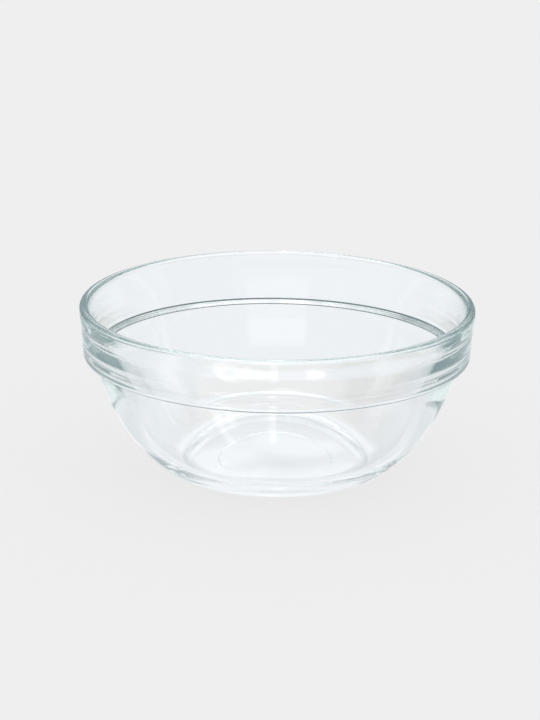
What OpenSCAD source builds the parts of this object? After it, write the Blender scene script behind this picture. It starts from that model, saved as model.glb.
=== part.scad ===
// Stacking prep bowl of clear pressed glass, in millimetres.
// The bowl is one casting: a rounded rim that flares a little, an upright collar, an outside step
// that lets bowls stack, a curved wall with a smooth inside, and a flat base.
// It is drawn as one outline, half of the bowl's section, which is turned about the Z axis.
// The origin is the middle of the foot, on the table, and +Z is up.

/* [Bowl] */
// Diameter across the outside of the rim
rim_d = 120; // [112:0.5:130]
// Height from the table to the top of the rim
bowl_h = 52; // [46:0.5:60]

/* [Collar] */
// Height of the collar, from the stacking shoulder to the top of the rim
collar_h = 16.5; // [16:0.1:18]
// Thickness of the glass at the rounded rim
rim_t = 3; // [2.4:0.1:3.6]
// How far the edge of the rim stands out from the line of the collar's outside
rim_flare = 0.2; // [0.1:0.05:0.5]
// Height over which the rim flares out, from the top of the rim down
flare_h = 7; // [6:0.1:8]
// Lean of the collar's outside from the vertical, in degrees
collar_lean = 3.8; // [2:0.1:6]
// Radius of the collar's rounded lower edge
collar_edge_r = 1.8; // [1.2:0.1:2]

/* [Stacking step] */
// Width of the flat shoulder under the collar, which rests on the rim of the bowl below
shoulder_w = 3.4; // [3.2:0.1:4]
// Radius of the hollow corner between the shoulder and the wall
shoulder_corner_r = 1.2; // [0.6:0.1:1.4]

/* [Wall] */
// Thickness of the wall at its waist, where its inside is parallel to its outside
wall_t = 2.8; // [2.2:0.1:3.4]
// Lean of the outside from the vertical where it leaves the shoulder, in degrees
wall_lean = 13; // [10:0.5:16]
// Lean of the inside from the vertical just under the rim, in degrees
inside_lean = 12; // [10:0.5:14]

/* [Base] */
// Diameter of the level foot
foot_d = 58.4; // [50:0.2:66]
// Thickness of the glass in the middle of the base, over the recess
base_t = 2.2; // [1.8:0.1:4]
// Diameter of the level inner floor
floor_d = 48; // [40:0.5:52]
// Diameter of the shallow recess under the base
recess_d = 35.2; // [28:0.2:42]
// Depth of the recess
recess_h = 0.3; // [0.2:0.1:0.6]

/* [Hidden] */

$fn = 180;
corner_steps = 6;
crown_steps = 16;
flare_steps = 10;
wall_steps = 36;

// How far down the outer wall's curve the waist is, as a share of the curve
waist_share = 0.45;

// How much of the flare's height keeps the direction of each end
flare_share = 0.5;

// Shares of a wall curve's height, run or length that set how long it keeps the direction of each end
outside_wall_share = 0.695;
outside_foot_share = 0.2;
inside_rim_share = 0.6;
inside_waist_share = 0.12;
inside_wall_share = 0.57;
inside_floor_share = 0.44;

// The crown of the rim is an arc between the collar's outside and the inside of the bowl
crown_r = rim_t / 2;
crown_centre = [rim_d / 2 - crown_r, bowl_h - crown_r];

// Radius of the collar's outer face at a height z
function collar_r(z) = rim_d / 2 - rim_flare - (crown_centre.y - z) * tan(collar_lean);

// Outer corners of the stacking step
shoulder_z = bowl_h - collar_h;
shoulder_outer = [collar_r(shoulder_z), shoulder_z];
shoulder_inner = [shoulder_outer.x - shoulder_w, shoulder_z];

// Edges of the foot, the recess under it and the inner floor
foot_edge = [foot_d / 2, 0];
recess_r = recess_d / 2;
floor_z = base_t + recess_h;
floor_edge = [floor_d / 2, floor_z];

// A step of a given length down a wall that leans inwards
function down_wall(lean, length) = length * [-sin(lean), -cos(lean)];
function unit(v) = v / norm(v);

// The same points in the opposite order
function turned_round(points) = [for (i = [len(points) - 1:-1:0]) points[i]];

// Points of an arc about a centre, from one angle to another
function arc(centre, r, from, to, steps) =
    [for (i = [0:steps]) let (a = from + (to - from) * i / steps) centre + r * [cos(a), sin(a)]];

// Points of the arc of radius r that rounds the corner at b, on the way from a to c
function rounded(a, b, c, r) =
    let (
        back = unit(a - b),
        ahead = unit(c - b),
        half = acos(back * ahead) / 2,
        centre = b + unit(back + ahead) * r / sin(half),
        first = b + back * r / tan(half) - centre,
        last = b + ahead * r / tan(half) - centre,
        turn = atan2(first.x * last.y - first.y * last.x, first * last),
        start = atan2(first.y, first.x)
    )
    arc(centre, r, start, start + turn, corner_steps);

// The curve that leaves a towards b and reaches d from c: its place and its direction at a share t
function place(a, b, c, d, t) =
    let (s = 1 - t)
    s * s * s * a + 3 * s * s * t * b + 3 * s * t * t * c + t * t * t * d;
function heading(a, b, c, d, t) =
    let (s = 1 - t)
    unit(s * s * (b - a) + 2 * s * t * (c - b) + t * t * (d - c));
function curve(a, b, c, d, steps) = [for (i = [0:steps]) place(a, b, c, d, i / steps)];

// Arc over the rim, from its inner side to its outer side
crown = arc(crown_centre, crown_r, 180 - inside_lean, 0, crown_steps);
crown_inner = crown[0];
crown_outer = crown[crown_steps];

// The flare, from the crown down to the straight face of the collar
flare_z = bowl_h - flare_h;
flare_foot = [collar_r(flare_z), flare_z];
flare_handle = flare_share * (crown_outer.y - flare_z);
flare = curve(
    crown_outer,
    crown_outer - [0, flare_handle],
    flare_foot + flare_handle * [tan(collar_lean), 1],
    flare_foot,
    flare_steps
);

// Outside of the wall, from just under the shoulder to the foot
wall_top = shoulder_inner + down_wall(wall_lean, shoulder_corner_r);
wall_handle = wall_top + down_wall(wall_lean, outside_wall_share * wall_top.y);
foot_handle = foot_edge + [outside_foot_share * (wall_top.x - foot_edge.x), 0];
outer_wall = curve(wall_top, wall_handle, foot_handle, foot_edge, wall_steps);

// The inside passes the waist at the wall's thickness from the outside, and in its direction
waist_heading = heading(wall_top, wall_handle, foot_handle, foot_edge, waist_share);
waist_outer = place(wall_top, wall_handle, foot_handle, foot_edge, waist_share);
waist = waist_outer + wall_t * [waist_heading.y, -waist_heading.x];
waist_fall = norm(waist - crown_inner);

// Inside of the bowl, from the rim to the waist and from there to the floor
upper_inside = curve(
    crown_inner,
    crown_inner + down_wall(inside_lean, inside_rim_share * waist_fall),
    waist - inside_waist_share * waist_fall * waist_heading,
    waist,
    wall_steps
);
lower_inside = curve(
    waist,
    waist + inside_wall_share * (waist.y - floor_z) * waist_heading,
    floor_edge + [inside_floor_share * (waist.x - floor_edge.x), 0],
    floor_edge,
    wall_steps
);

// Half of the bowl's section: over the crown, down the outside, across the base and up the inside
module section() {
    outside = concat(
        [for (i = [1:flare_steps]) flare[i]],
        rounded(flare_foot, shoulder_outer, shoulder_inner, collar_edge_r),
        rounded(shoulder_outer, shoulder_inner, wall_top, shoulder_corner_r),
        outer_wall
    );
    base = [
        [recess_r, 0],
        [recess_r - recess_h, recess_h],
        [0, recess_h],
        [0, floor_z]
    ];
    low = [for (i = [1:wall_steps]) lower_inside[i]];
    high = [for (i = [1:wall_steps]) upper_inside[i]];
    polygon(concat(crown, outside, base, turned_round(low), turned_round(high)));
}

module bowl() {
    color([0.86, 0.93, 0.92, 0.5])
        rotate_extrude()
            section();
}

bowl();
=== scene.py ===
"""A clear pressed-glass prep bowl on a pale table, in metres, with the bowl's foot on Z = 0."""
from math import acos, atan2, cos, pi, radians, sin, tan

import bpy
from mathutils import Matrix, Vector


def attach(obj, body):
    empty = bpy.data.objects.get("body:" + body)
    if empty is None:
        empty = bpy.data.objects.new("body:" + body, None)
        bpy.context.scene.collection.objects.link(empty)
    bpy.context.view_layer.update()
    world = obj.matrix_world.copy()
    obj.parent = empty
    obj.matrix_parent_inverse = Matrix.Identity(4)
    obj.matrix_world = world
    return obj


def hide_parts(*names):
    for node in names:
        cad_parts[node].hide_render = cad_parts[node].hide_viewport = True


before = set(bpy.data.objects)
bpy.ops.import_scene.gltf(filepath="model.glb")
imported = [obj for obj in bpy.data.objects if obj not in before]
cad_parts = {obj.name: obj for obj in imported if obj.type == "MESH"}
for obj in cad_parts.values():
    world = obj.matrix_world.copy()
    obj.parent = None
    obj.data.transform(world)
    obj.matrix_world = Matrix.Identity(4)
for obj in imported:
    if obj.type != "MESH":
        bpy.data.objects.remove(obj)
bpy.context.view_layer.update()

# The bowl's sizes
MM = 0.001
BOWL_H = 52 * MM
RIM_R = 60 * MM
COLLAR_H = 16.5 * MM
RIM_T = 3 * MM
RIM_FLARE = 0.2 * MM
FLARE_H = 7 * MM
COLLAR_LEAN = radians(3.8)
COLLAR_EDGE_R = 1.8 * MM
SHOULDER_W = 3.4 * MM
SHOULDER_CORNER_R = 1.2 * MM
WALL_T = 2.8 * MM
WALL_LEAN = radians(13)
INSIDE_LEAN = radians(12)
FOOT_R = 29.2 * MM
BASE_T = 2.2 * MM
FLOOR_R = 24 * MM
RECESS_R = 17.6 * MM
RECESS_H = 0.3 * MM
RECESS_EDGE_R = 0.15 * MM

# Where the waist is, as a share of the outer wall's curve. There the inside is parallel to the outside
WAIST_SHARE = 0.45

# How long each curve keeps the direction of its ends, as shares of its height, run or length
FLARE_SHARE = 0.5
OUTSIDE_WALL_SHARE = 0.695
OUTSIDE_FOOT_SHARE = 0.2
INSIDE_RIM_SHARE = 0.6
INSIDE_WAIST_SHARE = 0.12
INSIDE_WALL_SHARE = 0.57
INSIDE_FLOOR_SHARE = 0.44

# How finely the outline is drawn, and how many steps go once round the bowl
CORNER_STEPS = 8
CROWN_STEPS = 24
FLARE_STEPS = 24
WALL_STEPS = 64
TURN_STEPS = 256

# A long straight stretch is held by a point this far inside each end, so that it shades as a straight one
HOLD = 0.15 * MM
LONG_STRETCH = 8 * HOLD

# The level middle of the base has rings at these shares of its radius
LEVEL_SHARES = (0, 0.3, 0.6)

# Points of the mesh that are closer than this are one point
SAME_PLACE = 0.01 * MM


def deselect():
    """Leave edit mode with nothing selected."""
    if bpy.context.mode != "OBJECT":
        bpy.ops.object.mode_set(mode="OBJECT")
    bpy.ops.object.select_all(action="DESELECT")


# Outline of the glass, in the plane of radius and height

def point(r, z):
    return Vector((r, z))


def down_wall(lean, length):
    """A step of that length down a wall that leans inwards."""
    return -length * point(sin(lean), cos(lean))


def arc(centre, radius, start, turn, steps):
    angles = [start + turn * i / steps for i in range(steps + 1)]
    return [centre + radius * point(cos(a), sin(a)) for a in angles]


def rounded(before, corner, after, radius):
    """The arc that rounds a corner of the outline."""
    back = (before - corner).normalized()
    ahead = (after - corner).normalized()
    half = acos(back.dot(ahead)) / 2
    centre = corner + (back + ahead).normalized() * radius / sin(half)
    first = corner + back * radius / tan(half) - centre
    last = corner + ahead * radius / tan(half) - centre
    turn = atan2(first.x * last.y - first.y * last.x, first.dot(last))
    return arc(centre, radius, atan2(first.y, first.x), turn, CORNER_STEPS)


def place(a, b, c, d, t):
    """The place at a share t of the curve that leaves a towards b and reaches d from c."""
    s = 1 - t
    return s ** 3 * a + 3 * s * s * t * b + 3 * s * t * t * c + t ** 3 * d


def heading(a, b, c, d, t):
    """The direction of that curve at a share t."""
    s = 1 - t
    return (s * s * (b - a) + 2 * s * t * (c - b) + t * t * (d - c)).normalized()


def curve(a, b, c, d, steps=WALL_STEPS):
    return [place(a, b, c, d, i / steps) for i in range(steps + 1)]


def joined(parts):
    """One outline through all its parts, where a long straight stretch between two is held near its ends."""
    outline = []
    for part in parts:
        if outline:
            stretch = part[0] - outline[-1]
            if stretch.length > LONG_STRETCH:
                step = stretch.normalized() * HOLD
                outline += [outline[-1] + step, part[0] - step]
        outline += part
    return outline


def bowl_outline():
    """Half of the bowl's section, from the middle of the recess round the outside to that of the floor."""
    crown_r = RIM_T / 2
    crown_centre = point(RIM_R - crown_r, BOWL_H - crown_r)
    crown = arc(crown_centre, crown_r, 0, pi - INSIDE_LEAN, CROWN_STEPS)

    def on_collar(z):
        return point(RIM_R - RIM_FLARE - (crown_centre.y - z) * tan(COLLAR_LEAN), z)

    flare_foot = on_collar(BOWL_H - FLARE_H)
    handle = FLARE_SHARE * (crown[0].y - flare_foot.y)
    flare = curve(
        flare_foot,
        flare_foot + handle * point(tan(COLLAR_LEAN), 1),
        crown[0] - point(0, handle),
        crown[0],
        FLARE_STEPS,
    )

    shoulder_z = BOWL_H - COLLAR_H
    shoulder_outer = on_collar(shoulder_z)
    shoulder_inner = shoulder_outer - point(SHOULDER_W, 0)

    wall_top = shoulder_inner + down_wall(WALL_LEAN, SHOULDER_CORNER_R)
    foot = point(FOOT_R, 0)
    outside = (
        wall_top,
        wall_top + down_wall(WALL_LEAN, OUTSIDE_WALL_SHARE * wall_top.y),
        foot + point(OUTSIDE_FOOT_SHARE * (wall_top.x - FOOT_R), 0),
        foot,
    )

    waist_heading = heading(*outside, WAIST_SHARE)
    waist = place(*outside, WAIST_SHARE) + WALL_T * point(waist_heading.y, -waist_heading.x)
    waist_fall = (waist - crown[-1]).length
    floor_z = BASE_T + RECESS_H
    floor = point(FLOOR_R, floor_z)
    upper_inside = curve(
        crown[-1],
        crown[-1] + down_wall(INSIDE_LEAN, INSIDE_RIM_SHARE * waist_fall),
        waist - INSIDE_WAIST_SHARE * waist_fall * waist_heading,
        waist,
    )
    lower_inside = curve(
        waist,
        waist + INSIDE_WALL_SHARE * (waist.y - floor_z) * waist_heading,
        floor + point(INSIDE_FLOOR_SHARE * (waist.x - FLOOR_R), 0),
        floor,
    )

    recess_foot = point(RECESS_R, 0)
    recess_top = point(RECESS_R - RECESS_H, RECESS_H)
    recess_middle = point(0, RECESS_H)
    floor_middle = point(0, floor_z)
    return joined([
        [recess_middle.lerp(recess_top, share) for share in LEVEL_SHARES],
        rounded(recess_middle, recess_top, recess_foot, RECESS_EDGE_R),
        rounded(recess_top, recess_foot, foot, RECESS_EDGE_R),
        curve(*outside)[::-1],
        rounded(wall_top, shoulder_inner, shoulder_outer, SHOULDER_CORNER_R),
        rounded(shoulder_inner, shoulder_outer, flare_foot, COLLAR_EDGE_R),
        flare,
        crown[1:],
        upper_inside[1:],
        lower_inside[1:],
        [floor_middle.lerp(floor, share) for share in LEVEL_SHARES[::-1]],
    ])


def turned(name, outline):
    """A closed body of revolution: one vertex is extruded along the outline, which is then spun."""
    deselect()
    places = [Vector((p.x, 0, p.y)) for p in outline]
    bpy.ops.mesh.primitive_plane_add(size=MM, location=places[0])
    piece = bpy.context.object
    piece.name = name
    bpy.ops.object.transform_apply(location=True, rotation=True, scale=True)
    bpy.ops.object.mode_set(mode="EDIT")
    bpy.ops.mesh.select_mode(type="VERT")
    bpy.ops.mesh.select_all(action="SELECT")
    bpy.ops.mesh.merge(type="CENTER")
    for here, there in zip(places, places[1:]):
        bpy.ops.mesh.extrude_region_move(TRANSFORM_OT_translate={"value": there - here})
    bpy.ops.mesh.select_all(action="SELECT")
    bpy.ops.mesh.spin(steps=TURN_STEPS, angle=2 * pi, center=(0, 0, 0), axis=(0, 0, 1))
    bpy.ops.mesh.select_all(action="SELECT")
    bpy.ops.mesh.remove_doubles(threshold=SAME_PLACE)
    bpy.ops.mesh.normals_make_consistent(inside=False)
    deselect()
    piece.select_set(True)
    bpy.context.view_layer.objects.active = piece
    bpy.ops.object.shade_smooth()
    return piece


# Shader maths

# The colour sockets of a Mix node, which share their names with its other sockets
MIX_FIRST = 6
MIX_SECOND = 7
MIX_RESULT = 2


class Value:
    """One output of a shader tree, so that sums of outputs and numbers are written as plain expressions."""

    def __init__(self, tree, socket):
        self.tree = tree
        self.socket = socket

    def maths(self, operation, *others):
        inputs = dict(enumerate((self, *others)))
        return node(self.tree, "ShaderNodeMath", {"operation": operation}, inputs)

    def __add__(self, other):
        return self.maths("ADD", other)

    def __sub__(self, other):
        return self.maths("SUBTRACT", other)

    def __rsub__(self, other):
        return self.maths("MULTIPLY_ADD", -1, other)

    def __mul__(self, other):
        return self.maths("MULTIPLY", other)

    def __abs__(self):
        return self.maths("ABSOLUTE")

    __radd__ = __add__
    __rmul__ = __mul__


def node(tree, kind, settings, inputs, output=0):
    """Add a node, its settings first and then its inputs' values or links. Returns the output asked for."""
    made = tree.nodes.new(kind)
    for name, value in settings.items():
        setattr(made, name, value)
    for name, value in inputs.items():
        if isinstance(value, Value):
            tree.links.new(value.socket, made.inputs[name])
        else:
            made.inputs[name].default_value = value
    return None if output is None else Value(tree, made.outputs[output])


def blank(owner):
    """The owner's shader tree, emptied."""
    owner.use_nodes = True
    owner.node_tree.nodes.clear()
    return owner.node_tree


def grey(level):
    return (level, level, level, 1)


def ramp(value, low, high):
    """0 under low, 1 over high and smooth between them."""
    inputs = {"Value": value, "From Min": low, "From Max": high}
    return node(value.tree, "ShaderNodeMapRange", {"interpolation_type": "SMOOTHSTEP"}, inputs)


def mixed(factor, first, second):
    """The first colour where the factor is 0, the second where it is 1."""
    inputs = {"Factor": factor, MIX_FIRST: first, MIX_SECOND: second}
    return node(factor.tree, "ShaderNodeMix", {"data_type": "RGBA"}, inputs, MIX_RESULT)


def blended(factor, first, second):
    """The first shader where the factor is 0, the second where it is 1."""
    return node(first.tree, "ShaderNodeMixShader", {}, {0: factor, 1: first, 2: second})


def through_glass(tree):
    """1 for a ray that a glass surface has bent or thrown back, 0 for any other."""
    bent = node(tree, "ShaderNodeLightPath", {}, {}, "Is Transmission Ray")
    thrown = node(tree, "ShaderNodeLightPath", {}, {}, "Is Glossy Ray")
    return bent.maths("MAXIMUM", thrown)


# The glass: clear with a faint green in thick parts, and slightly wavy as pressed glass is

GLASS_IOR = 1.52
GLASS_GREEN = (0.66, 0.86, 0.84, 1)
GREEN_DENSITY = 4

# The waves are broad ones, so many to a metre, with a share of finer ones on top
BROAD_WAVES = 28
FINE_WAVES = 90
FINE_SHARE = 0.12
WAVE_DEPTH = 0.25 * MM


def clear_glass():
    material = bpy.data.materials.new("clear_glass")
    tree = blank(material)
    position = node(tree, "ShaderNodeTexCoord", {}, {}, "Object")
    broad = node(tree, "ShaderNodeTexNoise", {}, {"Vector": position, "Scale": BROAD_WAVES, "Detail": 1})
    fine = node(tree, "ShaderNodeTexNoise", {}, {"Vector": position, "Scale": FINE_WAVES, "Detail": 0})
    waves = broad + fine * FINE_SHARE
    normal = node(tree, "ShaderNodeBump", {}, {"Height": waves, "Strength": 1, "Distance": WAVE_DEPTH})
    surface = node(tree, "ShaderNodeBsdfPrincipled", {}, {
        "Base Color": (1, 1, 1, 1),
        "Roughness": 0,
        "IOR": GLASS_IOR,
        "Transmission Weight": 1,
        "Normal": normal,
    })
    green = node(tree, "ShaderNodeVolumeAbsorption", {}, {"Color": GLASS_GREEN, "Density": GREEN_DENSITY})
    node(tree, "ShaderNodeOutputMaterial", {}, {"Surface": surface, "Volume": green}, None)
    return material


# The piece

bowl = turned("glass_bowl", bowl_outline())
bowl.data.materials.append(clear_glass())
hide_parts("bowl")
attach(bowl, "root")


# The table is matt and pale. Rays that have met the glass pass it and see the studio instead

TABLE_SIZE = 6
TABLE_SHADE = grey(0.863)

# The table lies this far under the foot, so that no two faces share a plane
TABLE_DROP = 0.1 * MM

# Most of the table's light is even, because glass casts a fainter shadow than this studio gives it
EVEN_SHARE = 0.85


def pale_table():
    material = bpy.data.materials.new("pale_table")
    tree = blank(material)
    lit = node(tree, "ShaderNodeBsdfDiffuse", {}, {"Color": TABLE_SHADE})
    even = node(tree, "ShaderNodeEmission", {}, {"Color": TABLE_SHADE, "Strength": 1})
    clear = node(tree, "ShaderNodeBsdfTransparent", {}, {})
    surface = blended(through_glass(tree), blended(EVEN_SHARE, lit, even), clear)
    node(tree, "ShaderNodeOutputMaterial", {}, {"Surface": surface}, None)
    return material


deselect()
bpy.ops.mesh.primitive_plane_add(size=TABLE_SIZE, location=(0, 0, -TABLE_DROP))
table = bpy.context.object
table.name = "table"
table.data.materials.append(pale_table())


# The studio round the bowl, as the glass sees it: the pale table below, dark walls with a pale gap straight
# ahead and a window on each side, a dim strip along the horizon, a white ceiling and a few panels. Directions
# are in degrees, to the right of straight ahead and up from level

PALE = (0.9, 0.93, 0.96, 1)
WHITE = (1, 1, 1, 1)
WALL = (0.2, 0.25, 0.265, 1)
REAR_WALL = (0.32, 0.38, 0.4, 1)
HORIZON = (0.26, 0.32, 0.34, 1)
DARK_GAP = (0.13, 0.18, 0.2, 1)
TABLE_EDGE = (0.75, 0.79, 0.81, 1)
TABLE_PALE = (0.92, 0.95, 0.98, 1)

# Where one zone turns into the next: the change starts at the first number and is over at the second
GAP_TO_WALL = (13, 17)
SIDE_TO_REAR = (96, 104)
LEFT_TO_RIGHT = (-4, 4)
TABLE_TO_FAR_EDGE = (-40, -34)
TABLE_TO_WALL = (-10, -4)
PALE_TO_CEILING = (36, 50)

# The walls' top on the right, and how much higher it is on the left
WALL_TOP = 44
LEFT_RISE = 8

# From where to where the windows, the strip along the horizon and the table's edge reach
WINDOW_TURN = (50, 95)
WINDOW_HEIGHT = (12, 27)
HORIZON_HEIGHT = (-3, 16)
TABLE_EDGE_HEIGHT = (-34, -6)

# How soft the edges are, of those zones, of the walls' top and of the panels
ZONE_SOFT = 4
TOP_SOFT = 3
PANEL_SIDE_SOFT = 2
PANEL_END_SOFT = 3

# A panel has the direction and height of its middle, half its width, half its height and its brightness. The
# flags are dim, and the table lights are light that lies on the table in front of the bowl
SOFTBOXES = [
    (150, 58, 20, 4, 3),
    (112, 60, 8, 6, 3),
    (-134, 55, 8, 4, 3),
    (-2, 48, 2, 10, 3),
]
REAR_WINDOW = (180, 22, 20, 8, 1)
FLAGS = [
    (128, -21, 24, 12, 0.35),
    (6, -30, 10, 3, 0.84),
]
TABLE_LIGHTS = [
    (-156, -50, 18, 12, 1.3),
    (-136, -50, 4, 11, 2.8),
    (-177, -50, 3, 11, 3),
]
PANELS = [*SOFTBOXES, REAR_WINDOW, *FLAGS, *TABLE_LIGHTS]

HALF_TURN = 180


def inside(value, low, high, soft):
    """1 between two limits, with a soft edge on both sides."""
    return ramp(value, low - soft, low) * (1 - ramp(value, high, high + soft))


def studio_light(tree):
    """The colour that the glass sees in each direction."""
    direction = node(tree, "ShaderNodeTexCoord", {}, {}, "Generated")
    x, y, z = (node(tree, "ShaderNodeSeparateXYZ", {}, {"Vector": direction}, axis) for axis in "XYZ")
    turn = x.maths("ARCTAN2", y).maths("DEGREES")
    height = z.maths("ARCSINE").maths("DEGREES")

    aside = ramp(abs(turn), *GAP_TO_WALL)
    wall = mixed(ramp(abs(turn), *SIDE_TO_REAR), WALL, REAR_WALL)
    wall_top = WALL_TOP + LEFT_RISE * (1 - ramp(turn, *LEFT_TO_RIGHT))
    under_top = 1 - ramp(height - wall_top, -TOP_SOFT, TOP_SOFT)
    walls = aside * ramp(height, *TABLE_TO_WALL) * under_top
    windows = inside(abs(turn), *WINDOW_TURN, ZONE_SOFT) * inside(height, *WINDOW_HEIGHT, ZONE_SOFT)
    far_edge = aside * inside(height, *TABLE_EDGE_HEIGHT, ZONE_SOFT)
    strip = inside(height, *HORIZON_HEIGHT, ZONE_SOFT)

    light = mixed(ramp(height, *PALE_TO_CEILING), PALE, WHITE)
    light = mixed(ramp(height, *TABLE_TO_FAR_EDGE), TABLE_PALE, light)
    light = mixed(far_edge, light, TABLE_EDGE)
    light = mixed(walls, light, wall)
    light = mixed(strip, light, mixed(aside, DARK_GAP, HORIZON))
    light = mixed(windows, light, WHITE)
    for middle, up, half_width, half_height, bright in PANELS:
        beside = abs((turn - middle).maths("WRAP", HALF_TURN, -HALF_TURN))
        across = 1 - ramp(beside, half_width - PANEL_SIDE_SOFT, half_width + PANEL_SIDE_SOFT)
        shape = across * inside(height, up - half_height, up + half_height, PANEL_END_SOFT)
        light = mixed(shape, light, grey(bright))
    return light


def studio():
    """The world: the studio for rays from the glass, the table's shade for the camera, white for the rest.

    A ray that the table has scattered counts as one of the rest.
    """
    world = bpy.data.worlds.new("studio")
    tree = blank(world)
    seen = node(tree, "ShaderNodeLightPath", {}, {}, "Is Camera Ray")
    plain = mixed(seen, WHITE, TABLE_SHADE)
    scattered = node(tree, "ShaderNodeLightPath", {}, {}, "Diffuse Depth")
    through = through_glass(tree) * (1 - ramp(scattered, 0, 1))
    colour = mixed(through, plain, studio_light(tree))
    shade = node(tree, "ShaderNodeBackground", {}, {"Color": colour, "Strength": 1})
    node(tree, "ShaderNodeOutputWorld", {}, {"Surface": shade}, None)
    return world


scene = bpy.context.scene
scene.world = studio()

# Light that enters the collar crosses up to sixty faces before it leaves
MOST_FACES = 80
scene.cycles.max_bounces = MOST_FACES
scene.cycles.glossy_bounces = MOST_FACES
scene.cycles.transmission_bounces = MOST_FACES


# Camera, in the photograph's place. A point on the bowl's axis, below the rim, falls on the aim's pixel

CAMERA_FAR = 0.92
CAMERA_HIGH = radians(17.84)
CAMERA_ROLL = radians(0.71)
PIXELS_PER_M = 3275
AIM_BELOW_RIM = 25 * MM
AIM_X = 276.4
AIM_Y = 380.5
FRAME_WIDTH = 540
FRAME_HEIGHT = 720

# The sensor's size in millimetres, which spans the taller side of the frame
SENSOR = 36


def facing(direction):
    """The camera's axes when it looks along a direction, with the photograph's roll."""
    return direction.to_track_quat("-Z", "Y").to_matrix() @ Matrix.Rotation(CAMERA_ROLL, 3, "Z")


deselect()
bpy.ops.object.camera_add()
camera = bpy.context.object
camera.name = "camera"
camera.data.sensor_width = SENSOR
camera.data.lens = PIXELS_PER_M * CAMERA_FAR * SENSOR / FRAME_HEIGHT
target = Vector((0, 0, BOWL_H - AIM_BELOW_RIM))
camera.location = target + CAMERA_FAR * Vector((0, -cos(CAMERA_HIGH), sin(CAMERA_HIGH)))
across = (FRAME_WIDTH / 2 - AIM_X) / PIXELS_PER_M
upward = (AIM_Y - FRAME_HEIGHT / 2) / PIXELS_PER_M
aim = target + facing(target - camera.location) @ Vector((across, upward, 0))
camera.matrix_world = Matrix.LocRotScale(camera.location, facing(aim - camera.location), None)
scene.camera = camera

scene.view_settings.view_transform = "Standard"
